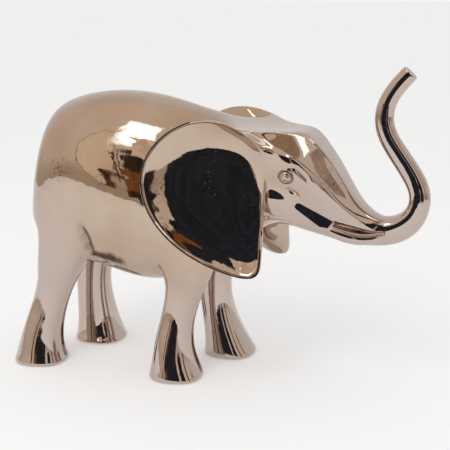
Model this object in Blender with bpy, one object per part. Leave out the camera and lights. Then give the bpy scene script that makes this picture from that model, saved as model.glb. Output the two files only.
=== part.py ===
"""Walking elephant with a raised trunk, one hollow-cast figure, modelled as one closed solid.

+X is forward (the trunk's side), -Y is the elephant's own right, +Z is up, metres.
The origin is the middle of the bounding box on the floor.
The skin is a cage of twenty-sided rings that is subdivided once; legs and ears grow out of
gaps left in it, and mouth slots, tusks and eyes are cut or joined with booleans.
"""
import math

import bmesh
import bpy
from mathutils import Matrix, Vector

for old in list(bpy.data.objects):
    bpy.data.objects.remove(old, do_unlink=True)

# ---- driving dimensions, millimetres in the figure's own frame (x = 0 between the feet) ----
MM = 0.001
CENTRE_X = 76.55         # middle of the bounding box, moved to the origin at the end
HALF = 10                # ring steps from the spine down to the belly, one side
RING = 2 * HALF          # vertices round one ring
TRACK = 35.0             # foot centre to the middle plane
STRIDE = 13.4            # how far a foot is moved fore or aft of its pair's middle
STRIDE_HEIGHT = 96.0     # height where that shift has died out
LEG_SIDES = 12
EAR_DEPTH = 13.0         # how deep the ear bowls are
EAR_RIM = 3.2            # ear thickness at the rim
EAR_BODY = 4.5           # ear thickness inside the rim
TUSK_RADIUS = 5.4
SUBDIVISION = 1

# torso rings: name, x, back height, belly height, half width, height of the widest point,
# fullness of the upper and lower half, forward lean of the top and of the bottom
TORSO = (
    ("rump", -86, 200, 118, 29, 158, 2.3, 2.5, 8, 10),
    ("hind0", -76, 218, 103, 44, 154, 2.2, 2.3, 4, 6),
    ("hind1", -62.5, 230.5, 98, 52, 148, 2.2, 2.3, 0, 0),
    ("hind2", -46, 238.5, 95, 56, 145, 2.2, 2.3, 0, 0),
    ("hind3", -29, 242, 92, 57, 143, 2.2, 2.4, 0, 0),
    ("belly0", -9, 244, 84, 57, 142, 2.2, 2.2, 0, 0),
    ("belly1", 15, 243, 78.5, 55.5, 143, 2.2, 2.2, 0, 0),
    ("fore0", 36, 239, 80, 52, 148, 2.2, 2.3, 0, 0),
    ("fore1", 52, 234.5, 84, 48, 152, 2.2, 2.3, 0, 0),
    ("fore2", 68, 230, 90, 44, 156, 2.2, 2.3, 0, 0),
    ("fore3", 83, 226, 99, 40, 160, 2.2, 2.3, 0, 2),
)

# head rings: name, then (x, half width, z) for spine, crown, roof edge, temple, brow,
# eye, cheek, lip valley, jaw, jaw edge and throat
HEAD = (
    ("earBack", (94, 0, 221.5), (98, 23, 221), (107, 50, 218), (111, 43, 207), (117, 39.5, 194),
     (118.5, 38, 181), (119, 37, 167), (117, 35.5, 152), (112, 29, 137), (107, 17, 124), (104, 0, 118)),
    ("earFront", (106, 0, 218), (107, 25, 218.5), (112, 55, 219.5), (123, 53, 211.5), (130, 44.5, 199.5),
     (130.5, 40, 187), (129.5, 38.5, 173), (127.5, 38, 156), (124, 31, 141), (121, 19, 130.5), (118, 0, 125)),
    ("temple0", (117, 0, 216.5), (117, 23, 217), (114, 52.5, 219.3), (125, 49, 211.5), (132.5, 42, 199.5),
     (135, 41.5, 188), (134, 38, 174), (132, 34.5, 161), (129.5, 32, 146), (127, 21, 133.5), (125, 0, 128)),
    ("temple1", (127, 0, 215.5), (127, 20, 216), (125, 42, 216.3), (124, 30, 207), (139, 40.5, 197.5),
     (142, 43, 188), (140, 39, 173), (137, 32, 162.5), (136, 33, 148.5), (134, 23, 136), (133, 0, 130)),
    ("temple2", (145, 0, 214.8), (145, 11, 215), (146, 22, 215), (146, 23, 204), (151.5, 37.5, 194.5),
     (153.5, 41.5, 184), (151, 38, 169), (147, 31, 161), (145.5, 32, 147), (143, 23, 136.5), (142, 0, 130.5)),
    ("crown", (157.5, 0, 214.8), (157.5, 9, 214.8), (158, 17, 215), (157.5, 21, 203), (160, 34, 189),
     (163, 38, 178), (161, 34.5, 166), (158, 27.5, 156.5), (156.5, 27.5, 145), (154, 19, 134.5), (153, 0, 129)),
    ("bridge0", (169.5, 0, 200.8), (169.5, 8.5, 200.8), (169.5, 16.8, 200.6), (171, 20, 190.5),
     (171.5, 28, 180), (173.5, 31, 170), (172, 29, 161), (170, 24.5, 151), (169, 21.5, 141),
     (168.5, 14, 131), (168, 0, 125.8)),
    ("bridge1", (184, 0, 182), (184, 7.5, 182), (184, 14.6, 181.7), (185, 17.5, 172.5),
     (186, 22.3, 163.8), (187, 24.5, 157), (186, 25, 149.5), (185, 23, 142), (184, 19, 133.5),
     (184, 11.5, 126.5), (184, 0, 122.5)),
    ("bridge2", (199, 0, 158.7), (199, 6.3, 158.6), (199, 12.2, 157.6), (200, 15, 151.5),
     (200.5, 17, 146), (200, 17.6, 142), (199.5, 17.3, 137), (198.5, 16, 132), (198, 13, 127),
     (197.5, 7, 122.2), (197, 0, 120.2)),
)

# trunk: x, z, heading in degrees above forward, radius
TRUNK = (
    (213, 134.5, -10, 12.9), (227, 136, 20, 12.0), (239.5, 143.2, 42, 10.9), (248.3, 155.5, 70, 9.8),
    (249.2, 170, 101, 9.0), (240.5, 185.2, 121, 8.6), (222.8, 209.8, 115, 8.35),
    (216.8, 230, 92, 8.3), (220.6, 245, 71, 8.1), (231, 260, 48, 7.7),
)
TRUNK_CUT = 5.0          # length of the last straight piece before the flat cut

# legs from the body down: z, x of the axis, half length, half width
HIND_LEG = (
    (89, -57.7, 22, 19.8), (76, -60.7, 18, 17.8), (57, -64.5, 16.2, 16.2),
    (34, -67.4, 17.5, 17.4), (14, -67.8, 20.4, 20.3), (2.5, -67, 24.5, 24.5),
)
FORE_LEG = (
    (91, 61.1, 21.5, 19.6), (78, 60, 16.8, 16.8), (58, 57.9, 14.7, 15.2),
    (35, 58.1, 15.8, 16.1), (14, 61.2, 19.7, 19.8), (2.5, 63.6, 24.3, 24.3),
)

# ear rim: x, half width, z.  Top edge from the brow backwards, back edge downwards,
# front and bottom edge from the cheek downwards and back
EAR_TOP = ((98, 55, 225), (83, 54.5, 226.8), (66, 56, 223.5), (51.5, 60.5, 214))
EAR_BACK = ((42, 64, 201.5), (36.5, 66, 186), (36, 66.5, 168), (40, 65, 150.5), (49, 62.5, 134.5), (62, 60, 120))
EAR_BOTTOM = ((128.7, 41, 126), (129, 43.5, 96.5), (110.5, 48.5, 97), (84, 55, 105.5))

TUSK = ((178, 22.5, 142), (192.3, 22, 136.6), (203.9, 19, 133.8), (214.5, 15.5, 134.2), (221, 13, 136.6))
TUSK_TAPER = (1.0, 1.0, 0.92, 0.74, 0.5)
SLOT_FROM, SLOT_TO = (154, 29.8, 157.5), (180, 25.6, 143.5)
SLOT_RADII = (3.0, 5.6)
EYE = (146.8, 35.9, 181.3)
EYE_RADIUS = 5.6


def smooth(t):
    t = min(1.0, max(0.0, t))
    return t * t * (3 - 2 * t)


def torsoRing(x, top, bottom, width, middle, fullTop, fullBottom, leanTop, leanBottom):
    """Half ring of a barrel: spine first, belly last, on the elephant's right (-Y)."""
    ring = []
    for k in range(HALF + 1):
        turn = math.pi * k / HALF
        upper = k <= HALF / 2
        power = 2 / (fullTop if upper else fullBottom)
        rise = abs(math.cos(turn)) ** power
        z = middle + (top - middle) * rise if upper else middle - (middle - bottom) * rise
        lean = leanTop * rise if upper else leanBottom * rise
        ring.append((x + lean, -width * math.sin(turn) ** power, z))
    return ring


def tubeRing(x, z, heading, radius):
    """Half ring of a round tube whose axis runs in the middle plane."""
    a = math.radians(heading)
    radius /= 0.984
    return [(x - math.sin(a) * radius * math.cos(math.pi * k / HALF),
             -radius * math.sin(math.pi * k / HALF),
             z + math.cos(a) * radius * math.cos(math.pi * k / HALF)) for k in range(HALF + 1)]


def addRing(mesh, half):
    ring = [None] * RING
    for k, (x, y, z) in enumerate(half):
        ring[k] = mesh.verts.new((x, y, z))
        if 0 < k < HALF:
            ring[RING - k] = mesh.verts.new((x, -y, z))
    return ring


def bridge(mesh, first, second, skip=()):
    count = len(first)
    for k in range(count):
        if k not in skip:
            n = (k + 1) % count
            mesh.faces.new((first[k], second[k], second[n], first[n]))


def patchCap(mesh, ring, rows, columns, corner, bulge=None):
    """Close a ring with a grid of quads so no pole is left."""
    count = len(ring)
    grid = {}
    for c in range(columns + 1):
        grid[0, c] = ring[(corner - columns + c) % count]
        grid[rows, columns - c] = ring[(corner + rows + c) % count]
    for r in range(rows + 1):
        grid[r, columns] = ring[(corner + r) % count]
        grid[rows - r, 0] = ring[(corner + rows + columns + r) % count]
    for r in range(1, rows):
        for c in range(1, columns):
            u, v = c / columns, r / rows
            across = grid[r, 0].co.lerp(grid[r, columns].co, u)
            along = grid[0, c].co.lerp(grid[rows, c].co, v)
            corners = grid[0, 0].co.lerp(grid[0, columns].co, u).lerp(
                grid[rows, 0].co.lerp(grid[rows, columns].co, u), v)
            place = across + along - corners
            if bulge:
                place += bulge * math.sin(math.pi * u) * math.sin(math.pi * v)
            grid[r, c] = mesh.verts.new(place)
    for r in range(rows):
        for c in range(columns):
            mesh.faces.new((grid[r, c], grid[r, c + 1], grid[r + 1, c + 1], grid[r + 1, c]))


def legRing(mesh, x, y, z, halfLength, halfWidth, side):
    """Twelve vertices, from the outer rear corner forward along the outside."""
    grow = 1 / 0.955
    ring = []
    for j in range(LEG_SIDES):
        a = math.radians(135 - 360 / LEG_SIDES * j)
        ring.append(mesh.verts.new((x + halfLength * grow * math.cos(a),
                                    side * (y + halfWidth * grow * math.sin(a)), z)))
    return ring


def addLeg(mesh, rings, stations, profile, side):
    """Grow one leg from the gap left between four torso rings, down to a flat sole."""
    def vert(name, k):
        return rings[name][k if side < 0 else (RING - k) % RING]
    loop = [vert(s, 6) for s in stations]
    loop += [vert(stations[3], 7), vert(stations[3], 8)]
    loop += [vert(s, 9) for s in reversed(stations)]
    loop += [vert(stations[0], 8), vert(stations[0], 7)]
    for z, x, halfLength, halfWidth in profile:
        shift = STRIDE * (1 - smooth(z / STRIDE_HEIGHT))
        ring = legRing(mesh, x + side * shift, TRACK, z, halfLength, halfWidth, side)
        bridge(mesh, loop, ring)
        loop = ring
    z, x, halfLength, halfWidth = profile[-1]
    for inset in (1.0, 4.5):
        ring = legRing(mesh, x + side * STRIDE, TRACK, 0, halfLength - inset, halfWidth - inset, side)
        bridge(mesh, loop, ring)
        loop = ring
    patchCap(mesh, loop, 3, 3, 3)


def addEar(mesh, rings, crease, side):
    """Grow one dished ear from the strip left open between the two ear rings."""
    rows = range(2, 8)
    def root(name):
        return [rings[name][k if side < 0 else RING - k] for k in rows]
    front, back = root("earFront"), root("earBack")
    right = [Vector((v.co.x, abs(v.co.y), v.co.z)) for v in front]
    edgeBack = [Vector(p) for p in EAR_BACK]
    top = [right[0]] + [Vector(p) for p in EAR_TOP] + [edgeBack[0]]
    bottom = [right[-1]] + [Vector(p) for p in EAR_BOTTOM] + [edgeBack[-1]]
    last = len(top) - 1
    for c in range(1, last + 1):
        u = c / last
        newFront, newBack = [], []
        for r in range(len(right)):
            v = r / (len(right) - 1)
            place = top[c].lerp(bottom[c], v) + right[r].lerp(edgeBack[r], u)
            place -= top[0].lerp(top[-1], u).lerp(bottom[0].lerp(bottom[-1], u), v)
            inner = 0 < r < len(right) - 1 and c < last
            if inner:
                place.y -= EAR_DEPTH * (math.sin(math.pi * v) * math.sin(math.pi * u)) ** 0.7
            thick = EAR_BODY if inner else EAR_RIM
            newFront.append(mesh.verts.new((place.x, side * place.y, place.z)))
            newBack.append(mesh.verts.new((place.x, side * (place.y - thick), place.z)))
        for r in range(len(right) - 1):
            mesh.faces.new((front[r], newFront[r], newFront[r + 1], front[r + 1]))
            mesh.faces.new((back[r + 1], newBack[r + 1], newBack[r], back[r]))
        mesh.faces.new((front[0], back[0], newBack[0], newFront[0]))
        mesh.faces.new((front[-1], newFront[-1], newBack[-1], back[-1]))
        for k in (0, -1):
            soft = 0.3 if c == 1 and k == -1 else 1.0
            mesh.edges.get((front[k], newFront[k]))[crease] = 0.7 * soft
            mesh.edges.get((back[k], newBack[k]))[crease] = 0.5 * soft
        front, back = newFront, newBack
    for r in range(len(right) - 1):
        mesh.faces.new((front[r], back[r], back[r + 1], front[r + 1]))
        mesh.edges.get((front[r], front[r + 1]))[crease] = 0.7
        mesh.edges.get((back[r], back[r + 1]))[crease] = 0.5


def creaseLine(mesh, crease, rings, names, k, values):
    for first, second, value in zip(names[:-1], names[1:], values):
        for n in (k, RING - k):
            mesh.edges.get((rings[first][n], rings[second][n]))[crease] = value


def sweep(name, path, radii, sides=12):
    """Closed round-ended tube along a path given with positive half widths."""
    mesh = bmesh.new()
    points = [Vector(p) for p in path]
    loops = []
    for i, p in enumerate(points):
        ahead = points[min(i + 1, len(points) - 1)] - points[max(i - 1, 0)]
        turn = ahead.to_track_quat("Z", "Y").to_matrix()
        loops.append([mesh.verts.new(p + turn @ Vector((radii[i] * math.cos(2 * math.pi * j / sides),
                                                        radii[i] * math.sin(2 * math.pi * j / sides), 0)))
                      for j in range(sides)])
    for first, second in zip(loops[:-1], loops[1:]):
        bridge(mesh, first, second)
    for loop, end, toward in ((loops[0], 0, -1), (loops[-1], -1, 1)):
        step = (points[1] - points[0]) if end == 0 else (points[-1] - points[-2])
        cap = mesh.verts.new(points[end] + step.normalized() * toward * radii[end] * 0.6)
        for j in range(sides):
            mesh.faces.new((loop[j], loop[(j + 1) % sides], cap))
    bmesh.ops.recalc_face_normals(mesh, faces=mesh.faces[:])
    return mesh


def linkMesh(name, mesh, mirror=False):
    """Write a bmesh to an object in metres, with its twin on the other side if asked."""
    if mirror:
        twin = bmesh.ops.duplicate(mesh, geom=mesh.verts[:] + mesh.edges[:] + mesh.faces[:])["geom"]
        twin = [g for g in twin if isinstance(g, bmesh.types.BMVert)]
        bmesh.ops.scale(mesh, vec=(1, -1, 1), verts=twin)
        bmesh.ops.recalc_face_normals(mesh, faces=mesh.faces[:])
    bmesh.ops.transform(mesh, matrix=Matrix.Scale(MM, 4) @ Matrix.Translation((-CENTRE_X, 0, 0)),
                        verts=mesh.verts[:])
    data = bpy.data.meshes.new(name)
    mesh.to_mesh(data)
    mesh.free()
    item = bpy.data.objects.new(name, data)
    bpy.context.scene.collection.objects.link(item)
    return item


# ---- skin ----
skin = bmesh.new()
crease = skin.edges.layers.float.new("crease_edge")
rings = {}
for name, *numbers in TORSO:
    rings[name] = addRing(skin, torsoRing(*numbers))
for name, *points in HEAD:
    rings[name] = addRing(skin, [(x, -y, z) for x, y, z in points])
for i, numbers in enumerate(TRUNK):
    rings["trunk%d" % i] = addRing(skin, tubeRing(*numbers))

order = list(rings)
legFaces = {6, 7, 8, 11, 12, 13}
earFaces = {2, 3, 4, 5, 6, 13, 14, 15, 16, 17}
for first, second in zip(order[:-1], order[1:]):
    skip = legFaces if first in ("hind0", "hind1", "hind2", "fore0", "fore1", "fore2") else ()
    bridge(skin, rings[first], rings[second], earFaces if first == "earBack" else skip)
patchCap(skin, rings["rump"], 6, 4, 2, Vector((-3, 0, 0)))

# flat cut end of the trunk
heading = math.radians(TRUNK[-1][2])
forward = Vector((math.cos(heading), 0, math.sin(heading)))
loop = rings[order[-1]]
centre = Vector((TRUNK[-1][0], 0, TRUNK[-1][1])) + forward * TRUNK_CUT
for along, scale in ((0, 1.0), (1.2, 0.9)):
    ring = [skin.verts.new(centre + forward * along
                           + (v.co + forward * TRUNK_CUT - centre) * scale) for v in rings[order[-1]]]
    bridge(skin, loop, ring)
    loop = ring
patchCap(skin, loop, 6, 4, 2)

for side in (-1, 1):
    addLeg(skin, rings, ("hind0", "hind1", "hind2", "hind3"), HIND_LEG, side)
    addLeg(skin, rings, ("fore0", "fore1", "fore2", "fore3"), FORE_LEG, side)
    addEar(skin, rings, crease, side)

headLine = ("earFront", "temple0", "temple1", "temple2", "crown", "bridge0", "bridge1", "bridge2")
creaseLine(skin, crease, rings, headLine, 2, (0.7, 0.9, 0.9, 0.85, 0.7, 0.55, 0.4))
creaseLine(skin, crease, rings, headLine[:-1], 4, (0.3, 0.7, 0.8, 0.7, 0.5, 0.3))
bmesh.ops.recalc_face_normals(skin, faces=skin.faces[:])
elephant = linkMesh("elephant", skin)
surface = elephant.modifiers.new("surface", "SUBSURF")
surface.levels = surface.render_levels = SUBDIVISION

# ---- mouth slots, tusks and eyes ----
slotPath = [Vector(SLOT_FROM).lerp(Vector(SLOT_TO), t) for t in (0, 0.5, 1)]
slotRadii = [SLOT_RADII[0] + (SLOT_RADII[1] - SLOT_RADII[0]) * t for t in (0, 0.5, 1)]
mouth = linkMesh("mouthSlots", sweep("mouthSlots", slotPath, slotRadii), mirror=True)
tusks = linkMesh("tusks", sweep("tusks", TUSK, [TUSK_RADIUS * t for t in TUSK_TAPER]), mirror=True)
ball = bmesh.new()
bmesh.ops.create_uvsphere(ball, u_segments=12, v_segments=6, radius=EYE_RADIUS,
                          matrix=Matrix.Translation(EYE) @ Matrix.Rotation(math.radians(90), 4, "X"))
eyes = linkMesh("eyes", ball, mirror=True)
for tool, operation in ((mouth, "DIFFERENCE"), (tusks, "UNION"), (eyes, "UNION")):
    joined = elephant.modifiers.new(tool.name, "BOOLEAN")
    joined.object, joined.operation, joined.solver = tool, operation, "EXACT"
    tool.hide_render = True
    tool.display_type = "WIRE"

for polygon in elephant.data.polygons:
    polygon.use_smooth = True

metal = bpy.data.materials.new("lustre plating")
metal.use_nodes = True
shader = metal.node_tree.nodes["Principled BSDF"]
shader.inputs["Base Color"].default_value = (0.66, 0.50, 0.40, 1)
shader.inputs["Metallic"].default_value = 1.0
shader.inputs["Roughness"].default_value = 0.06
elephant.data.materials.append(metal)
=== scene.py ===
import math

import bmesh
import bpy
import numpy as np
from mathutils import Matrix, Vector


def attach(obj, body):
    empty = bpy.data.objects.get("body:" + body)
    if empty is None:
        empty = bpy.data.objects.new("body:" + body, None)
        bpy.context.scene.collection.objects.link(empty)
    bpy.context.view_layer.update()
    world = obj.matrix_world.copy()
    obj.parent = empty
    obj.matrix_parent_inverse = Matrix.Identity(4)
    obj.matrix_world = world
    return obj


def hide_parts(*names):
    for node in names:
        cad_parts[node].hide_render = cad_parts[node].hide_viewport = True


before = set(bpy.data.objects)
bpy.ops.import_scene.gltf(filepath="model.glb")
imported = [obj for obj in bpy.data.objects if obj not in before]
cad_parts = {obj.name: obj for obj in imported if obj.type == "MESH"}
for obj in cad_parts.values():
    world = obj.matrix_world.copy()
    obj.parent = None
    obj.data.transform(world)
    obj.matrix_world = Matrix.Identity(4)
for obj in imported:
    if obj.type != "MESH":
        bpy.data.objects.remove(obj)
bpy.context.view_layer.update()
bpy.ops.object.select_all(action="DESELECT")
print("frame loaded")

millimetre = 0.001
midLength = 76.55        # the tables count x from between the feet, the frame from the middle of its box


def inFrame(x, y, z):
    return Vector(((x - midLength) * millimetre, y * millimetre, z * millimetre))


def smooth(t):
    t = min(1.0, max(0.0, t))
    return t * t * (3 - 2 * t)


# Growing a skin: a small grid is drawn out ring by ring, and every corner remembers its ring and its step
# round that ring.
insideFrom = 100         # steps of the corners inside the grid count from here


def rimOrder(across, along):
    # the rim of a grid that is counted row by row, from the middle of the first row
    wide = across + 1
    rim = list(range(across // 2, across))
    rim += [wide * r + across for r in range(along)]
    rim += [wide * along + c for c in range(across, 0, -1)]
    rim += [wide * r for r in range(along, 0, -1)]
    return rim + list(range(across // 2))


def startGrid(name, across, along):
    # the grid's own size is of no account, because every corner is placed afterwards
    bpy.ops.object.select_all(action="DESELECT")
    bpy.ops.mesh.primitive_grid_add(x_subdivisions=across, y_subdivisions=along, size=0.02)
    item = bpy.context.object
    item.name = item.data.name = name
    bpy.ops.object.mode_set(mode="EDIT")
    bpy.ops.mesh.select_mode(type="FACE")
    mesh = bmesh.from_edit_mesh(item.data)
    ringOf = mesh.verts.layers.int.new("ring")
    stepOf = mesh.verts.layers.int.new("step")
    mesh.edges.layers.float.new("crease_edge")
    mesh.verts.ensure_lookup_table()
    order = rimOrder(across, along)
    for corner in mesh.verts:
        corner[ringOf] = 0
        corner[stepOf] = order.index(corner.index) if corner.index in order else insideFrom + corner.index
    return item


def openMesh():
    mesh = bmesh.from_edit_mesh(bpy.context.edit_object.data)
    return mesh, mesh.verts.layers.int["ring"], mesh.verts.layers.int["step"]


def fillGrid(ring, across, along, bulge=Vector()):
    # places for the whole grid inside a ring of places
    order, wide = rimOrder(across, along), across + 1
    grid = {divmod(index, wide): place for index, place in zip(order, ring)}
    for r in range(1, along):
        for c in range(1, across):
            u, v = c / across, r / along
            side = grid[r, 0].lerp(grid[r, across], u) + grid[0, c].lerp(grid[along, c], v)
            flat = grid[0, 0].lerp(grid[0, across], u).lerp(grid[along, 0].lerp(grid[along, across], u), v)
            grid[r, c] = side - flat + bulge * math.sin(math.pi * u) * math.sin(math.pi * v)
    places = dict(enumerate(ring))
    for (r, c), place in grid.items():
        if r * wide + c not in order:
            places[insideFrom + r * wide + c] = place
    return places


def setPlaces(places, ring=None):
    # places are found by step alone, or by ring and step
    mesh, ringOf, stepOf = openMesh()
    for corner in mesh.verts:
        if corner.select:
            step = corner[stepOf]
            corner.co = places[step if step in places else (corner[ringOf], step)]
            if ring is not None:
                corner[ringOf] = ring
    bmesh.update_edit_mesh(bpy.context.edit_object.data)


def drawOut(places, ring=None):
    bpy.ops.mesh.extrude_region_move()
    setPlaces(places, ring)


def growSkin(name, across, along, rings, bulge=Vector()):
    # the grid is laid on the first ring and drawn out through the others
    item = startGrid(name, across, along)
    bpy.ops.mesh.select_all(action="SELECT")
    setPlaces(fillGrid(rings[0], across, along, bulge))
    for i, ring in enumerate(rings[1:], 1):
        drawOut(fillGrid(ring, across, along), i)
    return item


def selectPatch(wanted):
    # wanted says which (ring, step) corners a face may have
    bpy.ops.mesh.select_all(action="DESELECT")
    mesh, ringOf, stepOf = openMesh()
    for face in mesh.faces:
        face.select_set(all(wanted(corner[ringOf], corner[stepOf]) for corner in face.verts))
    bmesh.update_edit_mesh(bpy.context.edit_object.data)


def finishSkin(item, levels=0):
    bpy.ops.mesh.select_all(action="SELECT")
    bpy.ops.mesh.normals_make_consistent(inside=False)
    bpy.ops.object.mode_set(mode="OBJECT")
    if levels:
        surface = item.modifiers.new("surface", "SUBSURF")
        surface.levels = surface.render_levels = levels
        bpy.ops.object.modifier_apply(modifier=surface.name)
        bpy.ops.object.shade_smooth()
    return item


# body: rump to shoulder, then head and trunk
body = {
    "grid": (4, 6),          # faces across and along the grid at the rump
    "steps": 20,             # corners round one ring, 0 at the spine and 10 at the belly
    "levels": 3,
    "smoothAngle": 38.0,
    "rumpBulge": -3.0,
    # x, back height, belly height, half width, height of the widest point,
    # fullness of the upper and lower half, forward lean of the top and of the bottom
    "torso": (
        ("rump", -88.8, 201.5, 115, 30, 129, 2.3, 2.1, 8, 14),
        ("hind0", -79, 220.5, 102, 44.5, 135, 2.2, 2.2, 4, 8),
        ("hind1", -64, 232, 98, 51.2, 155, 2.2, 2.7, 0, 0),
        ("hind2", -46, 238.5, 95, 54.5, 175, 2.2, 3.0, 0, 0),
        ("hind3", -29, 242, 90, 56, 170, 2.2, 2.9, 0, 0),
        ("belly0", -9, 244, 81.8, 57, 162, 2.2, 2.4, 0, 0),
        ("belly1", 15, 243, 76.3, 57, 151, 2.2, 2.4, 0, 0),
        ("fore0", 36, 239, 78.5, 55.5, 146, 2.2, 2.4, 0, 0),
        ("fore1", 52, 234.5, 84, 50.5, 148, 2.2, 2.4, 0, 0),
        ("fore2", 68, 230, 90, 44.5, 156, 2.2, 2.3, 0, 0),
        ("fore3", 83, 226, 99, 40, 160, 2.2, 2.3, 0, 2),
    ),
    # x, half width and height at spine, crown, roof edge, temple, brow, eye, cheek, lip valley, jaw,
    # jaw edge and throat
    "head": (
        ("earBack", (94, 0, 221.5), (98, 23, 221), (107, 50, 218), (111, 43, 207), (117, 39.5, 194),
         (118.5, 38, 181), (119, 36, 169), (117, 34.5, 155), (112, 29, 139), (107, 18, 125),
         (104, 0, 118)),
        ("earFront", (106, 0, 218), (107, 25, 218.5), (112, 55, 219.5), (122, 51, 212.5),
         (130, 44.5, 201), (131, 41.6, 188.5), (131, 36.6, 178.5), (130, 33, 171), (129, 35.5, 160),
         (125, 28, 142), (118, 0, 125)),
        ("temple0", (117, 0, 216.5), (117, 23, 217), (115, 51.5, 219), (124, 44, 212),
         (132.5, 43, 201.5), (135, 41.8, 189), (134.5, 36.5, 178.5), (133, 32.4, 171.5),
         (131.5, 36.4, 160.5), (129, 29.5, 144), (125, 0, 128)),
        ("temple1", (127, 0, 215.5), (127, 20, 216), (126, 38, 216.3), (131, 33, 209),
         (139, 43, 200.8), (142, 42.2, 188.5), (141, 36.8, 178), (139, 31.8, 170), (138, 35.4, 160),
         (136, 29.5, 144.5), (133, 0, 130)),
        ("temple2", (145, 0, 214.8), (145, 11, 215), (145, 25, 215.2), (147, 33.5, 207),
         (151.5, 40.5, 197.3), (153.5, 41, 184.5), (151, 36, 173.5), (148, 30.8, 165.5),
         (147, 32.7, 156.5), (145, 28, 142.5), (142, 0, 130.5)),
        ("crown", (159.3, 0, 215.6), (159.3, 9, 215.6), (159.5, 17.7, 215.4), (159, 31.8, 203.2),
         (160, 37, 192), (163, 37.6, 180), (161, 34.2, 168), (158, 28.8, 159), (156.5, 28.5, 149),
         (154, 23, 137), (153, 0, 129)),
        ("bridge0", (171.1, 0, 201.8), (171.1, 8.5, 201.8), (171, 16.8, 201.5), (171, 23.5, 192.5),
         (171.5, 31, 182), (173.5, 31.4, 171.5), (172, 29.4, 162.5), (170, 25, 152),
         (169, 22.5, 142.5), (168.5, 16, 131.5), (168, 0, 125.8)),
        ("bridge1", (185, 0, 182.8), (185, 7.5, 182.8), (185, 14.6, 182.4), (185, 18, 174),
         (186, 25, 164.5), (187, 25.4, 157.5), (186, 24.8, 150), (185, 22.8, 142), (184, 19, 133.5),
         (184, 11.5, 126.5), (184, 0, 122.5)),
        ("bridge2", (199, 0, 158.7), (199, 6.3, 158.6), (199, 12.2, 157.6), (200, 15.6, 153.5),
         (200.5, 18, 148.5), (200, 18.2, 143.5), (199.5, 17.4, 138), (198.5, 16, 132), (198, 13, 127),
         (197.5, 7, 122.2), (197, 0, 120.2)),
    ),
    # x, z, heading in degrees above forward, radius, fullness (2 is round, more is squarer),
    # how much wider the side inside the bend is
    "trunk": (
        (213.3, 133.8, -10, 12.9, 2.5, 0), (227.6, 134.4, 20, 12.0, 2.6, 0.06),
        (240.8, 141.2, 42, 10.8, 2.8, 0.14), (248.8, 154, 70, 9.3, 2.9, 0.16),
        (248.8, 169.5, 101, 8.9, 2.7, 0.1), (240, 184.3, 121, 8.4, 2.4, 0.02),
        (228.3, 200.2, 122, 8.1, 2.4, 0), (219.2, 213.8, 112, 7.9, 2.4, 0),
        (216.3, 229, 95, 7.8, 2.4, 0), (220.5, 243.2, 74, 7.5, 2.4, 0),
        (229, 254.6, 52, 7.1, 2.4, 0), (233.6, 259.8, 47, 6.9, 2.4, 0),
    ),
    "trunkShrink": 0.995,    # size that subdividing leaves a ring of the trunk
    "trunkEnd": ((4.6, 1.0), (5.5, 0.9), (4.6, 0.66)),       # how far past the last ring, and its size
    # step round the ring, and how sharp the edge is from each of the head's rings to the next
    "creases": (
        ("roof", 2, (0.7, 0.9, 0.9, 0.85, 0.7, 0.55, 0.4)),
        ("brow", 4, (0.85, 1.0, 1.0, 0.9, 0.85, 0.7)),
        ("jaw", 9, (0.3, 0.5, 0.5, 0.4, 0.3, 0.2)),
    ),
}


def torsoRing(x, top, bottom, width, middle, fullTop, fullBottom, leanTop, leanBottom):
    half = body["steps"] // 2
    ring = []
    for k in range(half + 1):
        turn = math.pi * k / half
        upper = k <= half / 2
        power = 2 / (fullTop if upper else fullBottom)
        rise = abs(math.cos(turn)) ** power
        z = middle + (top - middle) * rise if upper else middle - (middle - bottom) * rise
        ring.append((x + (leanTop if upper else leanBottom) * rise, width * math.sin(turn) ** power, z))
    return ring


def trunkRing(x, z, heading, radius, full, wider):
    half = body["steps"] // 2
    a = math.radians(heading)
    radius /= body["trunkShrink"]
    power = 2 / full
    ring = []
    for k in range(half + 1):
        turn = math.pi * k / half
        out, over = (math.copysign(abs(t) ** power, t) * radius for t in (math.cos(turn), math.sin(turn)))
        over *= 1 + wider * out / radius
        ring.append((x - math.sin(a) * out, over, z + math.cos(a) * out))
    return ring


def wholeRing(half):
    # half rings are given for the right side, which is -Y
    right = [inFrame(x, -y, z) for x, y, z in half]
    left = [inFrame(x, y, z) for x, y, z in half[1:-1]]
    return right + left[::-1]


def cutTrunk(lastRing):
    # the rings of the flat end with its soft rim
    heading = math.radians(body["trunk"][-1][2])
    outward = Vector((math.cos(heading), 0, math.sin(heading))) * millimetre
    middle = sum(lastRing, Vector()) / len(lastRing)
    return [[middle + outward * further + (place - middle) * size for place in lastRing]
            for further, size in body["trunkEnd"]]


rings = {name: wholeRing(torsoRing(*numbers)) for name, *numbers in body["torso"]}
rings.update({name: wholeRing(points) for name, *points in body["head"]})
rings.update({"trunk%d" % i: wholeRing(trunkRing(*numbers)) for i, numbers in enumerate(body["trunk"])})
rings.update({"cut%d" % i: ring for i, ring in enumerate(cutTrunk(list(rings.values())[-1]))})
ringNumber = {name: i for i, name in enumerate(rings)}
rumpBulge = Vector((body["rumpBulge"] * millimetre, 0, 0))
elephantSkin = growSkin("elephant_skin", *body["grid"], list(rings.values()), rumpBulge)


def creaseLine(names, step, values):
    mesh, ringOf, stepOf = openMesh()
    crease = mesh.edges.layers.float["crease_edge"]
    wanted = {(ringNumber[a], ringNumber[b]): value for a, b, value in zip(names[:-1], names[1:], values)}
    for edge in mesh.edges:
        a, b = sorted(edge.verts, key=lambda corner: corner[ringOf])
        if a[stepOf] == b[stepOf] and a[stepOf] in (step, body["steps"] - step):
            edge[crease] = wanted.get((a[ringOf], b[ringOf]), edge[crease])


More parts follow.
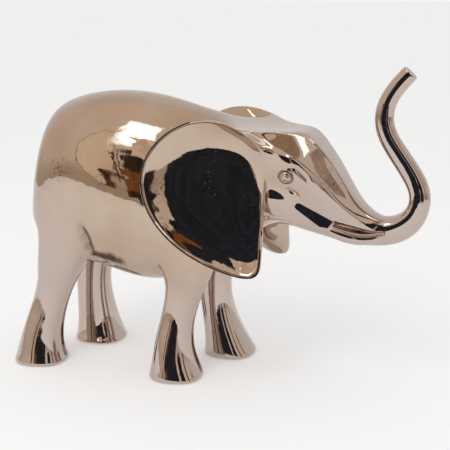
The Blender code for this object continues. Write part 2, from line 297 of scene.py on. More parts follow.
headPoints = {name: [Vector(point) for point in points] for name, *points in body["head"]}
for _, step, values in body["creases"]:
    creaseLine(list(headPoints)[1:], step, values)
print("body, head and trunk drawn out in %d rings" % len(rings))


def cornerKey(ring, step, side):
    # steps are counted down the right side and mirrored on the left
    return ringNumber[ring], step if side < 0 else body["steps"] - step


# legs: a patch of three by three faces under the flank is drawn down to each sole
legs = {
    "patch": (6, 9),         # its steps from the flank to the belly
    "track": 35.0,           # foot centre to the middle plane
    "stride": 13.4,          # left feet stand this far forward, right feet this far back
    "strideHeight": 96.0,    # where that shift has died out
    "strideLean": 0.33,      # the stride gains this much of the axis's way in from the track
    "soleRim": ((1.8, 0.0),),                                # inset and height
    "square": 0.8,           # below 1 squares the legs' round a little
    "shrink": 0.985,         # size that subdividing leaves a ring of the leg
    "inside": 0.36,          # how far out the four inner corners of the sole lie
    "turnIn": 9.0,           # the right legs are turned forward by this much
    # z, x of the axis, half length, half width, y of the axis
    "hind": (
        (90, -57.5, 22.5, 16.5, 32.3), (80, -59.8, 18.9, 14.8, 31.7), (68, -62.5, 16.7, 13.9, 31.9),
        (54, -65, 16.2, 14.6, 32.6), (40, -66.8, 17.0, 16.2, 34.0), (26, -67.8, 18.4, 18.0, 35.3),
        (14, -67.8, 20.4, 20.0, 36.1), (6, -67.3, 22.6, 22.3, 35.9), (2, -67, 24.6, 24.5, 35.1),
    ),
    "fore": (
        (92, 61.2, 22.0, 14.6, 32.3), (82, 60.4, 17.8, 13.6, 31.9), (70, 59.2, 15.7, 13.3, 32.3),
        (56, 57.9, 14.7, 14.2, 32.7), (42, 57.7, 15.2, 16.5, 33.6), (28, 58.8, 16.8, 19.1, 34.3),
        (16, 60.8, 19.2, 21.4, 34.6), (7, 62.8, 22.2, 23.3, 34.7), (2, 63.6, 24.4, 24.4, 35.1),
    ),
}


def legPlaces(keys, x, y, z, halfLength, halfWidth, side):
    # twelve corners from the outer rear one forward along the outside, then the four inside them
    grow = 1 / legs["shrink"]
    t = math.radians(legs["turnIn"]) * (side < 0) * (1 - smooth(z / legs["strideHeight"]))
    rim = []
    for j in range(12):
        a = math.radians(135 - 30 * j)
        forward, outside = (math.copysign(abs(n) ** legs["square"], n) for n in (math.cos(a), math.sin(a)))
        ahead = forward * math.cos(t) + outside * math.sin(t)
        aside = outside * math.cos(t) - forward * math.sin(t)
        rim.append(inFrame(x + halfLength * grow * ahead, side * (y + halfWidth * grow * aside), z))
    middle = sum(rim, Vector()) / len(rim)
    inner = [middle.lerp(rim[corner], legs["inside"]) for corner in (0, 3, 6, 9)]
    return dict(zip(keys, rim + inner))


def growLeg(stations, profile, side):
    outer, inner = legs["patch"]
    upper, lower = range(outer + 1, inner)
    rim = [(ring, outer) for ring in stations] + [(stations[-1], upper), (stations[-1], lower)]
    rim += [(ring, inner) for ring in reversed(stations)] + [(stations[0], lower), (stations[0], upper)]
    inside = [(stations[1], upper), (stations[2], upper), (stations[2], lower), (stations[1], lower)]
    keys = [cornerKey(ring, step, side) for ring, step in rim + inside]
    selectPatch(lambda ring, step: (ring, step) in keys)
    rows = []
    for z, x, a, b, y in profile:
        stride = legs["stride"] * (1 - smooth(z / legs["strideHeight"]))
        stride += legs["strideLean"] * (legs["track"] - y)
        rows.append((x + side * stride, y, z, a, b))
    x, y, _, a, b = rows[-1]
    rows += [(x, y, height, a - inset, b - inset) for inset, height in legs["soleRim"]]
    for row in rows:
        drawOut(legPlaces(keys, *row, side))


for side in (-1, 1):
    growLeg(("hind0", "hind1", "hind2", "hind3"), legs["hind"], side)
    growLeg(("fore0", "fore1", "fore2", "fore3"), legs["fore"], side)
print("four legs drawn out")

# ears: the strip behind each temple is drawn back into a dished sheet
ears = {
    "rows": (2, 3, 4, 5, 6, 7),                              # steps of the strip, from the crown to the cheek
    "down": (0, 0.14, 0.34, 0.58, 0.88, 1),                  # where they lie, top edge to bottom edge
    # how deep the bowl is, row by row below the top edge, from the cheek to the back
    "dish": ((10, 11, 11, 9, 5.5), (8, 7.5, 7.5, 7.5, 8), (5.7, 6.5, 7, 7.5, 9), (2.8, 4.2, 10, 8.8, 4.0)),
    "lip": ((1.7, -0.6), (0.9, 1.4)),                        # width and drop of the lip, then of a step
    "lipRoot": (4.0, 30.0),  # the lip starts this far from the cheek and takes this long to rise
    "rim": 3.2,              # thickness along the edge
    "sheet": 4.5,            # thickness inside the edge
    "rimCrease": (0.88, 0.5),                                # outer and inner edge of the rim
    "top": ((105, 53.6, 222), (97, 52, 225.0), (81.9, 51.5, 226.8), (65.1, 53.5, 223.5), (49.5, 58, 214.2)),
    "back": ((38, 61.5, 201.2), (31.6, 64, 185.8), (31.2, 65, 168), (36.6, 65.1, 150.3), (48, 65, 134.8),
             (63, 64.5, 121)),
    "bottom": ((129.5, 41, 147), (129.2, 48, 118), (131.8, 58, 99.8), (113.2, 58.5, 98.8), (86.5, 62, 107.6)),
    # how far back and down the left ear's lobe hangs
    "leftBottom": ((0, -2), (-1.5, -5), (-4, -8), (-3, -8), (0, -4)),
}


def growEar(side):
    rows = ears["rows"]
    root = [headPoints["earFront"][step] for step in rows]
    back = [Vector(point) for point in ears["back"]]
    top = [root[0]] + [Vector(point) for point in ears["top"]] + [back[0]]
    hang = [Vector((x, 0, z)) * (side > 0) for x, z in ears["leftBottom"]]
    bottom = [root[-1]] + [Vector(point) + more for point, more in zip(ears["bottom"], hang)] + [back[-1]]
    last, end = len(top) - 1, len(rows) - 1
    strip = [cornerKey(ring, step, side) for ring in ("earFront", "earBack") for step in rows]
    selectPatch(lambda ring, step: (ring, step) in strip)
    for c in range(1, last + 1):
        u, places = c / last, {}
        for r, step in enumerate(rows):
            v = ears["down"][r]
            place = top[c].lerp(bottom[c], v) + root[r].lerp(back[r], u)
            place -= top[0].lerp(top[-1], u).lerp(bottom[0].lerp(bottom[-1], u), v)
            inside = 0 < r < end and c < last
            if inside:
                place.y -= ears["dish"][r - 1][c - 1]
            thick = ears["sheet"] if inside else ears["rim"]
            places[cornerKey("earFront", step, side)] = inFrame(place.x, side * place.y, place.z)
            places[cornerKey("earBack", step, side)] = inFrame(place.x, side * (place.y - thick), place.z)
        drawOut(places)


def creaseEars():
    # the rim's edges have the rim on one side and a flat of the ear on the other
    mesh, ringOf, _ = openMesh()
    crease = mesh.edges.layers.float["crease_edge"]
    neighbours = {ringNumber["temple0"], ringNumber["fore3"]}
    for name, value in zip(("earFront", "earBack"), ears["rimCrease"]):
        for edge in mesh.edges:
            if len(edge.link_faces) != 2 or any(corner[ringOf] != ringNumber[name] for corner in edge.verts):
                continue
            kinds = [{corner[ringOf] for corner in face.verts} for face in edge.link_faces]
            if sorted(len(kind) for kind in kinds) == [1, 2] and not any(kind & neighbours for kind in kinds):
                edge[crease] = value


def lipEar(side):
    front = ringNumber["earFront"]
    selectPatch(lambda ring, step: ring == front and (step < body["steps"] / 2) == (side < 0))
    root = [headPoints["earFront"][step] for step in ears["rows"]]
    root = [inFrame(point.x, side * point.y, point.z) for point in root]
    start, length = ears["lipRoot"]
    for width, drop in ears["lip"]:
        bpy.ops.mesh.inset(thickness=width * millimetre, depth=0)
        mesh, _, _ = openMesh()
        for corner in mesh.verts:
            if corner.select:
                near = min((corner.co - place).length for place in root) / millimetre
                corner.co.y -= side * drop * smooth((near - start) / length) * millimetre


for side in (-1, 1):
    growEar(side)
creaseEars()
for side in (-1, 1):
    lipEar(side)
finishSkin(elephantSkin, body["levels"])
print("ears drawn out, skin subdivided to %d faces" % len(elephantSkin.data.polygons))

# folds and creases: soft grooves pressed into the fine skin
folds = {
    # name, width, depth and the line it follows on the right side
    "lines": (
        ("brow fold", 6.2, 1.6, ((144, -41, 191), (155.5, -39, 188.5), (163, -37, 181), (168, -35, 164))),
        ("cheek crease", 4.4, 1.6, ((142, -34, 167.5), (147, -34, 169), (153, -33, 167), (158, -31, 161))),
        ("thigh", 15.0, 4.4, ((-33, -57, 141), (-27, -51, 120), (-24, -41, 101))),
        ("groin", 8.0, 3.4, ((-30, -39, 103), (-16, -35, 99), (0, -35, 97))),
        ("armpit", 5.0, 1.6, ((34, -40, 98), (39, -42, 96), (43, -46, 88))),
    ),
    "withLegs": 150.0,       # folds that end below this move forward with the left legs
    "thinEnd": 0.05,         # how narrow a fold runs out
    "shallowEnd": 0.08,      # how much of its length keeps the depth of the ends
}


def readMesh(mesh, what):
    numbers = np.empty(len(mesh.vertices) * 3)
    mesh.vertices.foreach_get(what, numbers)
    return numbers.reshape(-1, 3)


def pressFold(item, width, depth, line):
    places, facing = readMesh(item.data, "co"), readMesh(item.data, "normal")
    points = np.array([inFrame(*point) for point in line])
    steps = np.linalg.norm(np.diff(points, axis=0), axis=1)
    reach = np.concatenate(([0], np.cumsum(steps))) / steps.sum()
    best = np.full(len(places), 1.0)
    along = np.zeros(len(places))
    for a, b, start, stop in zip(points[:-1], points[1:], reach[:-1], reach[1:]):
        t = np.clip((places - a) @ (b - a) / ((b - a) @ (b - a)), 0, 1)
        gap = np.linalg.norm(places - a - t[:, None] * (b - a), axis=1)
        nearer = gap < best
        best[nearer], along[nearer] = gap[nearer], (start + (stop - start) * t)[nearer]
    half = width * millimetre / 2 * np.sqrt(np.clip(np.sin(np.pi * along), folds["thinEnd"], 1))
    push = depth * millimetre * np.clip(1 - (best / half) ** 2, 0, 1) ** 2
    along = np.clip(along, folds["shallowEnd"], 1 - folds["shallowEnd"])
    places -= facing * (push * np.sin(np.pi * along))[:, None]
    item.data.vertices.foreach_set("co", places.ravel())
    item.data.update()


for _, width, depth, line in folds["lines"]:
    for side in (-1, 1):
        shift = legs["stride"] if line[-1][2] < folds["withLegs"] and side > 0 else 0
        pressFold(elephantSkin, width, depth, [(x + shift, -side * y, z) for x, y, z in line])

# eyes: a domed button with an almond of lids, set on each cheek
eyes = {
    "place": (146.8, 40, 181.3),
    "grid": 4,               # faces along each side of the grid under the button
    # half length, half height and how far each ring stands out of the cheek
    "rings": (
        (6.5, 6.5, -2.4), (6.9, 6.9, -0.8), (6.8, 6.8, 0.6), (6.4, 6.4, 0.8), (6.0, 6.0, -0.6),
        (5.6, 5.6, -0.6), (5.4, 5.3, 1.2), (5.0, 4.3, 2.5), (4.8, 3.6, 2.7), (4.6, 3.2, 1.3),
        (3.9, 2.8, 1.8), (2.4, 2.1, 3.0), (2.0, 1.8, 2.2), (1.0, 0.9, 2.3),
    ),
    "slant": -18.0,          # the almond drops towards the trunk
    "levels": 1,
}


def growEye(side):
    x, y, z = eyes["place"]
    _, middle, outward, _ = elephantSkin.closest_point_on_mesh(inFrame(x, side * y, z))
    forward = (Vector((1, 0, 0)) - outward * outward.x).normalized()
    forward = Matrix.Rotation(math.radians(eyes["slant"]) * -side, 3, outward) @ forward
    up = forward.cross(outward) * -side
    corners = 4 * eyes["grid"]
    rings = []
    for length, height, out in eyes["rings"]:
        turns = [2 * math.pi * k / corners for k in range(corners)]
        flat = [forward * length * math.cos(a) + up * height * math.sin(a) for a in turns]
        rings.append([middle + (place + outward * out) * millimetre for place in flat])
    return finishSkin(growSkin("eye", eyes["grid"], eyes["grid"], rings), eyes["levels"])


# tusks: short bars laid along the root of the trunk, cut square behind and rounded at the tip
tusks = {
    "line": ((181.5, 23.5, 137), (193, 24, 132.8), (204.5, 21.8, 130.4), (215, 18.3, 131.2),
             (222, 15.5, 134)),
    "radius": (5.5, 5.6, 5.3, 4.5, 3.2),
    "squareEnd": (0.93, 0.07),                               # its face's size, its length in the first bar
    "tip": (1.6, 1.9),       # how far past the last place, and its radius
    "grow": 1.04,            # makes up for what subdividing takes off
    "grid": 2,
    "levels": 2,
}


def growTusk(side):
    line = [inFrame(x, side * y, z) for x, y, z in tusks["line"]]
    radius, (face, edge), (further, tip) = tusks["radius"], tusks["squareEnd"], tusks["tip"]
    stations = [(line[0], radius[0] * face), (line[0], radius[0]), (line[0].lerp(line[1], edge), radius[0])]
    stations += zip(line[1:], radius[1:])
    heading = (line[-1] - line[-2]).normalized()
    stations.append((line[-1] + heading * further * millimetre, tip))
    corners = 4 * tusks["grid"]
    rings = []
    for i, (middle, size) in enumerate(stations):
        j = min(max(i - 2, 0), len(line) - 2)
        heading = (line[j + 1] - line[max(j - 1, 0)]).normalized()
        across = heading.cross(Vector((0, 1, 0))).normalized()
        out = heading.cross(across)
        turns = [2 * math.pi * k / corners for k in range(corners)]
        rings.append([middle + (across * math.cos(a) + out * math.sin(a)) * size * tusks["grow"] * millimetre
                      for a in turns])
    return finishSkin(growSkin("tusk", tusks["grid"], tusks["grid"], rings), tusks["levels"])


# mouth: a tapered slot cut behind each tusk
mouth = {
    # place on the cheek, half height, depth at the upper and the lower wall
    "stations": (((152.8, 29.5, 157.6), 1.8, 1.5, 1.0), ((154.6, 29, 156.4), 2.9, 8.6, 7.4),
                 ((170.5, 24.6, 145.3), 4.7, 6.6, 5.2), ((179.4, 21.6, 139.4), 5.6, 2.6, 2.0)),
    "lean": 0.22,            # how far the way out of the cheek leans to the trunk
    "skin": 1.5,             # a row of corners stands this far out of the cheek
    "proud": 6.0,            # the cutter ends this far out of the cheek
    "grid": 2,
}


def growCutter(side):
    line = [inFrame(x, side * y, z) for (x, y, z), *_ in mouth["stations"]]
    heading = (line[-1] - line[0]).normalized()
    outward = Vector((mouth["lean"], side, 0)).normalized()
    outward = (outward - heading * outward.dot(heading)).normalized()
    up = outward.cross(heading) * -side
    if up.z < 0:
        up = -up
    skin, proud = mouth["skin"], mouth["proud"]
    rings = []
    for middle, (_, half, upperDeep, lowerDeep) in zip(line, mouth["stations"]):
        section = [(-lowerDeep, -half), (-(upperDeep + lowerDeep) / 2, 0), (-upperDeep, half), (skin, half),
                   (proud, half), (proud, 0), (proud, -half), (skin, -half)]
        rings.append([middle + (outward * out + up * rise) * millimetre for out, rise in section])
    return finishSkin(growSkin("slot", mouth["grid"], mouth["grid"], rings))


def combine(parts, operation):
    bpy.ops.object.select_all(action="DESELECT")
    for part in parts:
        part.select_set(True)
    bpy.context.view_layer.objects.active = parts[0]
    bpy.ops.object.join()
    tool = bpy.context.object
    bpy.ops.object.select_all(action="DESELECT")
    bpy.context.view_layer.objects.active = elephantSkin
    elephantSkin.select_set(True)
    cut = elephantSkin.modifiers.new(operation.lower(), "BOOLEAN")
    cut.operation, cut.solver, cut.object = operation, "EXACT", tool
    bpy.ops.object.modifier_apply(modifier=cut.name)
    bpy.data.objects.remove(tool)


combine([growEye(-1), growEye(1), growTusk(-1), growTusk(1)], "UNION")
combine([growCutter(-1), growCutter(1)], "DIFFERENCE")
bpy.ops.object.shade_smooth_by_angle(angle=math.radians(body["smoothAngle"]))
print("eyes, tusks and mouth finished, %d faces" % len(elephantSkin.data.polygons))

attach(elephantSkin, "root")
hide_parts("elephant")


def addNode(tree, kind, *plugs, **settings):
    # plugs fill the first sockets in order, with values or with other nodes' outputs
    made = tree.nodes.new("ShaderNode" + kind)
    for name, value in settings.items():
        if hasattr(made, name):
            setattr(made, name, value)
        else:
            made.inputs[name].default_value = value
    for socket, value in zip(made.inputs, plugs):
        if isinstance(value, bpy.types.NodeSocket):
            tree.links.new(value, socket)
        else:
            socket.default_value = value
    return made


# lustre plating: a warm pale metal over a slightly uneven glaze
plating = {
    "colour": (0.555, 0.445, 0.36),
    "thinColour": (0.50, 0.375, 0.285),                      # where the lustre is thinner
    "coolColour": (0.545, 0.455, 0.405),                     # towards the feet and the trunk
    "warmHeart": (40, 50, 180, 75, 135),                     # middle, and how far it starts and ends to cool
    # drifts: how many to the metre, how finely broken, and the part of the noise that they rise over
    "patch": (22.0, 3.0, 0.35, 0.65),                        # thin and thick lustre
    "roughPatch": (90.0, 3.0, 0.3, 0.7),
    "pitPatch": (40.0, 1.0, 0.60, 0.66),                     # where the pits lie
    "roughness": (0.02, 0.07),
    "ripple": (55.0, 0.00022),                               # ripples to the metre and their height
    "orangePeel": (420.0, 0.000012),
    "pits": (330.0, 0.075, 0.00012),                         # to the metre, their size in cells, depth
    "eyeLines": ((6.0, 0.55), (0.0, 1.6)),                   # painted groove shade, a dark middle: radius and half width
    "eyeLineShade": 0.8,
    "veins": (95.0, 4.0, 1.2, 0.022),                        # to the metre, how fine, how bent, how wide
    "veinColour": (0.10, 0.05, 0.03),
    # colour of the painted shade in the thigh and groin creases
    "creaseShadeColour": (0.10, 0.06, 0.045),
    # middle, reach and strength of the painted shade in the thigh and groin creases, the same on both sides
    "creases": ((-28, 51, 129, 7, 0.2), (-26, 48, 121, 8, 0.35), (-24, 44, 112, 8, 0.5),
                (-20, 41, 105, 8, 0.8), (-13, 41, 104, 8, 0.8), (-5, 43, 104, 8, 0.8), (3, 42, 102, 7, 0.6)),
    # middle, reach and strength of the patches that carry veins, the same on both sides
    "veinPatches": ((-45, 52, 180, 13, 1.0), (-3, 56, 174, 10, 1.0), (46, 60, 170, 14, 1.0),
                    (54, 58, 138, 13, 1.0), (180, 24, 178, 13, 1.0)),
    "plateau": 0.4,          # how much of a patch's reach is at full strength
}


def makePlating():
    metal = bpy.data.materials.new("lustre_plating")
    metal.use_nodes = True
    tree = metal.node_tree
    link = tree.links.new
    shader = tree.nodes["Principled BSDF"]
    shader.inputs["Metallic"].default_value = 1.0
    place = addNode(tree, "TexCoord").outputs["Object"]

    def noise(scale, detail, bent=0.0):
        return addNode(tree, "TexNoise", place, Scale=scale, Detail=detail, Distortion=bent).outputs["Fac"]

    def remap(value, low, high, newLow=0.0, newHigh=1.0):
        return addNode(tree, "MapRange", value, low, high, newLow, newHigh).outputs["Result"]

    def drift(scale, detail, low, high, newLow=0.0, newHigh=1.0):
        return remap(noise(scale, detail), low, high, newLow, newHigh)

    def calculate(operation, *values):
        return addNode(tree, "Math", *values, operation=operation).outputs[0]

    def blend(amount, first, second):
        mix = addNode(tree, "Mix", amount, data_type="RGBA")
        for socket, colour in ((mix.inputs["A"], first), (mix.inputs["B"], second)):
            if isinstance(colour, tuple):
                socket.default_value = (*colour, 1)
            else:
                link(colour, socket)
        return mix.outputs["Result"]

    # the left side is folded onto the right one, so that places count for both
    split = addNode(tree, "SeparateXYZ", place).outputs
    folded = addNode(tree, "CombineXYZ", split["X"], calculate("ABSOLUTE", split["Y"]), split["Z"]).outputs[0]

    def awayFrom(x, y, z):
        return addNode(tree, "VectorMath", folded, inFrame(x, y, z), operation="DISTANCE").outputs["Value"]

    def softPatches(patches):
        most = 0.0
        for x, y, z, reach, strength in patches:
            inner, outer = reach * plating["plateau"] * millimetre, reach * millimetre
            most = calculate("MAXIMUM", most, remap(awayFrom(x, y, z), inner, outer, strength, 0.0))
        return most

    # colour: thick and thin lustre, cooler towards the ends, and painted shade in the creases
    shade = blend(drift(*plating["patch"]), plating["colour"], plating["thinColour"])
    *heart, warm, cool = plating["warmHeart"]
    away = remap(awayFrom(*heart), warm * millimetre, cool * millimetre)
    shade = blend(away, shade, plating["coolColour"])
    # painted shade darkens the thigh and groin creases
    shade = blend(softPatches(plating["creases"]), shade, plating["creaseShadeColour"])

    # fine dark veins where the glaze has crawled, and painted shade in the groove round each eye
    scale, detail, bent, width = plating["veins"]
    ridge = calculate("ABSOLUTE", calculate("SUBTRACT", noise(scale, detail, bent), 0.5))
    vein = calculate("MULTIPLY", remap(ridge, 0.0, width, 1.0, 0.0), softPatches(plating["veinPatches"]))
    away = awayFrom(*eyes["place"])
    # the ring is painted shade in the eye's groove, the second entry a dark spot in its middle
    for radius, width in plating["eyeLines"]:
        gap = calculate("ABSOLUTE", calculate("SUBTRACT", away, radius * millimetre))
        line = remap(gap, 0.0, width * millimetre, plating["eyeLineShade"], 0.0)
        vein = calculate("MAXIMUM", vein, line)
    link(blend(vein, shade, plating["veinColour"]), shader.inputs["Base Color"])
    link(drift(*plating["roughPatch"], *plating["roughness"]), shader.inputs["Roughness"])

    # relief: slow ripples, orange peel and a few pinholes
    scale, size, deep = plating["pits"]
    cells = addNode(tree, "TexVoronoi", place, Scale=scale).outputs["Distance"]
    height = calculate("MULTIPLY", remap(cells, 0.0, size, -deep, 0.0), drift(*plating["pitPatch"]))
    for scale, high in (plating["ripple"], plating["orangePeel"]):
        height = calculate("ADD", height, calculate("MULTIPLY", noise(scale, 1.0), high))
    bump = addNode(tree, "Bump", Distance=1.0)
    link(height, bump.inputs["Height"])
    link(bump.outputs["Normal"], shader.inputs["Normal"])
    return metal


elephantSkin.data.materials.append(makePlating())
print("plating laid on")

# studio: pale table and backdrop, a soft box, and what the metal mirrors
studio = {
    "tableFront": -1.06,
    "tableHalf": 1.9,
    "floorReach": 25.0,
    "backdrop": (0.65, 2.0),                                 # how far behind, how high
    "backdropColour": (0.66, 0.645, 0.64),
    "floorColour": (0.93, 0.925, 0.92),
    "paperRoughness": 0.9,
    "glow": 0.30,            # of floor and cards, which lifts the shadows as many weak lamps would
    "eyeHeight": 0.15,       # turns and rises are measured from this far above the middle of the floor
    # name, turn from and to, rise from and to, how far, colour
    "cards": (
        ("black_cloth", -12, 21.5, -25, 24, 1.35, (0.015, 0.018, 0.027)),
        ("black_hood", 5, 26.3, 20, 38, 1.36, (0.015, 0.018, 0.027)),
        ("black_corner", 25, 30, 27.5, 38, 1.35, (0.015, 0.018, 0.027)),
        ("dark_flag", 28.3, 46.5, -7, 34, 0.80, (0.015, 0.017, 0.021)),
        ("brown_case", -25.2, -22.3, -4, 6.5, 1.34, (0.07, 0.035, 0.016)),
        ("orange_cable_reel", -17.5, -11, -3, 10, 1.30, (0.15, 0.065, 0.02)),
        ("orange_tag", 21, 27.4, 27.9, 31.2, 1.30, (0.20, 0.08, 0.022)),
        ("tan_flap", -16.5, -1, 22, 41, 0.72, (0.60, 0.50, 0.40)),
        ("brown_panel", 28, 74, 38, 78, 1.6, (0.30, 0.22, 0.15)),
        ("dark_wing", 112, 148, -4, 29, 1.7, (0.12, 0.075, 0.055)),
        ("brown_door", 92.5, 104, 12, 35, 1.6, (0.33, 0.255, 0.20)),
        ("dark_post", 64, 71, -20, 48, 1.7, (0.05, 0.03, 0.02)),
        ("pale_board", 100, 138, 30, 50, 1.6, (0.97, 0.92, 0.88)),
        ("dark_base", -18, -11, -5.5, -2.5, 1.29, (0.035, 0.02, 0.013)),
        ("brown_curtain", -16.5, -11, 8, 26, 1.33, (0.035, 0.02, 0.012)),
        ("stand_a", -20.2, -19.6, 2, 23, 1.31, (0.05, 0.03, 0.02)),
        ("stand_b", -18.4, -17.8, 5, 26, 1.31, (0.05, 0.03, 0.02)),
        ("stand_rung", -21.5, -17.5, 4, 5.5, 1.31, (0.05, 0.03, 0.02)),
    ),
    "mottle": (7.0, 3.0, 1.0, 0.40, 0.68),                   # to the metre, how fine, how bent, from and to
    "mottleLighter": 1.9,                                    # the drifts on a card, against its colour
    # a card's edge: length of a step, how far it wanders, and the most as a share of the card's width
    "ragged": (0.05, 0.016, 0.15),
    # tall narrow light: turn from and to, rise from and to, how far
    "strip": (82, 94, 38, 72, 1.5),
    "stripColour": (1, 0.98, 0.95),
    "stripGlow": 1.8,
    # oval reflector: turn, rise, half width, half height, how far
    "disc": (-27, 20, 7.3, 22.5, 1.45),
    "discColour": (0.72, 0.62, 0.49),
    "discRim": (0.3, 0.01, (0.12, 0.08, 0.05)),              # how much wider, how far behind, colour
    "discCorners": 32,
}


def plainMaterial(name, colour, glow=studio["glow"]):
    paint = bpy.data.materials.new(name)
    paint.use_nodes = True
    inputs = paint.node_tree.nodes["Principled BSDF"].inputs
    inputs["Base Color"].default_value = inputs["Emission Color"].default_value = (*colour, 1)
    inputs["Roughness"].default_value = studio["paperRoughness"]
    inputs["Specular IOR Level"].default_value = 0.0
    inputs["Emission Strength"].default_value = glow
    return paint


def mottled(name, colour):
    # a card's colour with lighter drifts in it
    paint = plainMaterial(name, colour)
    tree = paint.node_tree
    scale, detail, bent, low, high = studio["mottle"]
    place = addNode(tree, "TexCoord").outputs["Object"]
    texture = addNode(tree, "TexNoise", place, Scale=scale, Detail=detail, Distortion=bent)
    drift = addNode(tree, "ValToRGB", texture.outputs["Fac"])
    lighter = [part * studio["mottleLighter"] for part in colour]
    for stop, position, tone in zip(drift.color_ramp.elements, (low, high), (colour, lighter)):
        stop.position, stop.color = position, (*tone, 1)
    tree.links.new(drift.outputs["Color"], tree.nodes["Principled BSDF"].inputs["Base Color"])
    return paint


def stagePlane(name, corners, paint, camera=False, glossy=True):
    # what the camera doesn't see is there for the mirror alone, and gives no light or shade
    mesh = bpy.data.meshes.new(name)
    mesh.from_pydata(corners, [], [range(len(corners))])
    item = bpy.data.objects.new(name, mesh)
    bpy.context.scene.collection.objects.link(item)
    mesh.materials.append(paint)
    item.visible_camera = item.visible_diffuse = item.visible_shadow = camera
    item.visible_glossy = glossy
    return item


def turned(turn, rise, far):
    # a place seen from the statue: turn from -Y towards +X, rise above level
    t, r = math.radians(turn), math.radians(rise)
    way = Vector((math.sin(t) * math.cos(r), -math.cos(t) * math.cos(r), math.sin(r)))
    return way * far + Vector((0, 0, studio["eyeHeight"]))


def upright(turnFrom, turnTo, riseFrom, riseTo, far):
    left, right = turned(turnFrom, 0, far), turned(turnTo, 0, far)
    low, top = (Vector((0, 0, far * math.tan(math.radians(rise)))) for rise in (riseFrom, riseTo))
    return [left + low, right + low, right + top, left + top]


def ragged(corners):
    # the outline of a card with edges that wander a little
    step, reach, share = studio["ragged"]
    most = (corners[1] - corners[0]).length * share
    outline = []
    for k in range(4):
        start, stop = corners[k], corners[(k + 1) % 4]
        count = max(1, round((stop - start).length / step))
        sideways = (corners[(k + 2) % 4] - stop).normalized()
        outline.append(start)
        for j in range(1, count):
            wander = reach * (math.sin(2.1 * j + k) + 0.7 * math.sin(3.7 * j + 2 * k))
            outline.append(start.lerp(stop, j / count) + sideways * min(wander, most))
    return outline


def rectangle(x0, x1, y0, y1):
    return [(x0, y0, 0), (x1, y0, 0), (x1, y1, 0), (x0, y1, 0)]


paper = plainMaterial("white_paper", studio["floorColour"])
front, half, wide = studio["tableFront"], studio["tableHalf"], studio["floorReach"]
behind, high = studio["backdrop"]
stagePlane("table", rectangle(-half, half, front, behind), paper, camera=True)
for name, *area in (("floor_front", -wide, wide, -wide, front), ("floor_back", -wide, wide, behind, wide),
                    ("floor_left", -wide, -half, front, behind), ("floor_right", half, wide, front, behind)):
    stagePlane(name, rectangle(*area), paper, camera=True, glossy=False)
stagePlane("backdrop", [(-half, behind, 0), (half, behind, 0), (half, behind, high), (-half, behind, high)],
           plainMaterial("grey_paper", studio["backdropColour"]))

for name, *place, colour in studio["cards"]:
    stagePlane(name, ragged(upright(*place)), mottled(name, colour))
stripPaint = plainMaterial("strip_light", studio["stripColour"], studio["stripGlow"])
stagePlane("strip_light", upright(*studio["strip"]), stripPaint)

turn, rise, halfWidth, halfHeight, far = studio["disc"]
more, further, rimColour = studio["discRim"]
for name, grow, away, colour in (("reflector", 0, 0, studio["discColour"]),
                                 ("reflector_rim", more, further, rimColour)):
    oval = []
    for k in range(studio["discCorners"]):
        a = 2 * math.pi * k / studio["discCorners"]
        across, up = (halfWidth + grow) * math.cos(a), (halfHeight + grow) * math.sin(a)
        oval.append(turned(turn + across, rise + up, far + away))
    stagePlane(name, oval, plainMaterial(name, colour))
print("table, backdrop and cards stand")

softBox = {
    "place": (-12.0, 45.0, 1.4),                             # turn, rise, how far
    "size": (0.46, 0.85),
    "light": 2.6,
    "glow": 3.6,             # of the sheet that the metal mirrors
    "crumple": (6.0, 3.0, 0.34),                             # creases across it, how fine, how strong
    "crumpleStretch": (1.0, 0.7, 1.0),
    "fade": ((0.50, 1.0), (0.63, 0.2)),                      # how far out, and how bright there
}


def makeSoftBox():
    width, height = softBox["size"]
    data = bpy.data.lights.new("soft_box", "AREA")
    data.shape, data.size, data.size_y = "RECTANGLE", width, height
    data.energy = softBox["light"] * math.pi * width * height
    lamp = bpy.data.objects.new("soft_box", data)
    bpy.context.scene.collection.objects.link(lamp)
    lamp.location = turned(*softBox["place"])
    middle = Vector((0, 0, studio["eyeHeight"]))
    lamp.rotation_euler = (lamp.location - middle).to_track_quat("Z", "Y").to_euler()
    lamp.visible_glossy = False
    return lamp


def makeSheet(lamp):
    # what the metal mirrors of the soft box: a bright sheet that fades unevenly towards its edges
    paint = bpy.data.materials.new("soft_box_sheet")
    paint.use_nodes = True
    tree = paint.node_tree
    tree.nodes.remove(tree.nodes["Principled BSDF"])
    scale, detail, strong = softBox["crumple"]
    place = addNode(tree, "TexCoord").outputs["Generated"]
    centred = addNode(tree, "VectorMath", place, (0.5, 0.5, 0), operation="SUBTRACT").outputs[0]
    across = addNode(tree, "VectorMath", centred, operation="ABSOLUTE").outputs[0]
    split = addNode(tree, "SeparateXYZ", across).outputs
    outward = addNode(tree, "Math", split["X"], split["Y"], operation="MAXIMUM").outputs[0]
    drawn = addNode(tree, "VectorMath", place, softBox["crumpleStretch"], operation="MULTIPLY").outputs[0]
    creases = addNode(tree, "TexNoise", drawn, Scale=scale, Detail=detail).outputs["Fac"]
    uneven = addNode(tree, "Math", creases, strong, outward, operation="MULTIPLY_ADD").outputs[0]
    fade = addNode(tree, "ValToRGB", uneven)
    for stop, (position, level) in zip(fade.color_ramp.elements, softBox["fade"]):
        stop.position, stop.color = position, (level, level, level, 1)
    glow = addNode(tree, "Emission", fade.outputs["Color"], softBox["glow"])
    tree.links.new(glow.outputs[0], tree.nodes["Material Output"].inputs["Surface"])
    halfWidth, halfHeight = (size / 2 for size in softBox["size"])
    sheet = stagePlane("soft_box_sheet", rectangle(-halfWidth, halfWidth, -halfHeight, halfHeight), paint)
    sheet.location, sheet.rotation_euler = lamp.location, lamp.rotation_euler


makeSheet(makeSoftBox())

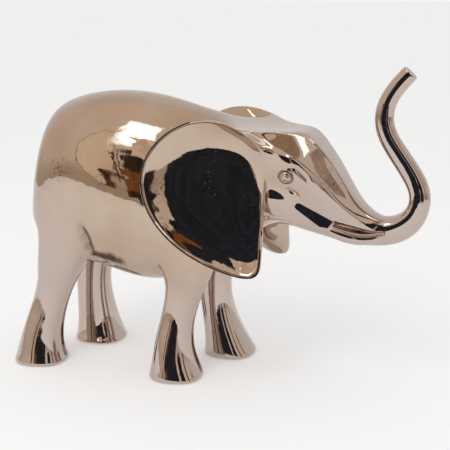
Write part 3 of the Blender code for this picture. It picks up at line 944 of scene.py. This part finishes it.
air = {
    "sky": 0.915,            # as the camera sees it
    "skyLight": 0.595,       # how strongly it lights the table
    # what the metal mirrors of the room, from straight down to straight up
    "room": ((0.0, (0.42, 0.34, 0.26)), (0.47, (0.52, 0.43, 0.35)),
             (0.56, (0.75, 0.65, 0.55)), (1.0, (0.80, 0.70, 0.62))),
}


def makeAir():
    world = bpy.data.worlds.new("studio_air")
    bpy.context.scene.world = world
    world.use_nodes = True
    tree = world.node_tree
    path = addNode(tree, "LightPath").outputs
    sky = tree.nodes["Background"]
    sky.inputs["Color"].default_value = (1, 1, 1, 1)
    strength = addNode(tree, "MapRange", path["Is Diffuse Ray"], 0.0, 1.0, air["sky"], air["skyLight"])
    tree.links.new(strength.outputs["Result"], sky.inputs["Strength"])
    direction = addNode(tree, "TexCoord").outputs["Generated"]
    upward = addNode(tree, "SeparateXYZ", direction).outputs["Z"]
    shade = addNode(tree, "ValToRGB", addNode(tree, "MapRange", upward, -1.0, 1.0).outputs["Result"])
    while len(shade.color_ramp.elements) < len(air["room"]):
        shade.color_ramp.elements.new(0.5)
    for stop, (place, colour) in zip(shade.color_ramp.elements, air["room"]):
        stop.position, stop.color = place, (*colour, 1)
    room = addNode(tree, "Background", shade.outputs["Color"])
    pick = addNode(tree, "MixShader", path["Is Glossy Ray"], sky.outputs[0], room.outputs[0])
    tree.links.new(pick.outputs[0], tree.nodes["World Output"].inputs["Surface"])


makeAir()
print("lamps and room set")

view = {
    "place": (0.26965, -0.8004, 0.3284),
    "toward": (-0.30388, 0.92442, -0.23045),
    "lens": 80.19,
    "sensor": 36,
    "clip": (0.01, 60),
}
cameraData = bpy.data.cameras.new("camera")
cameraData.sensor_width, cameraData.lens = view["sensor"], view["lens"]
cameraData.clip_start, cameraData.clip_end = view["clip"]
camera = bpy.data.objects.new("camera", cameraData)
bpy.context.scene.collection.objects.link(camera)
camera.location = view["place"]
camera.rotation_euler = Vector(view["toward"]).to_track_quat("-Z", "Y").to_euler()
bpy.context.scene.camera = camera
bpy.context.scene.view_settings.view_transform = "Standard"
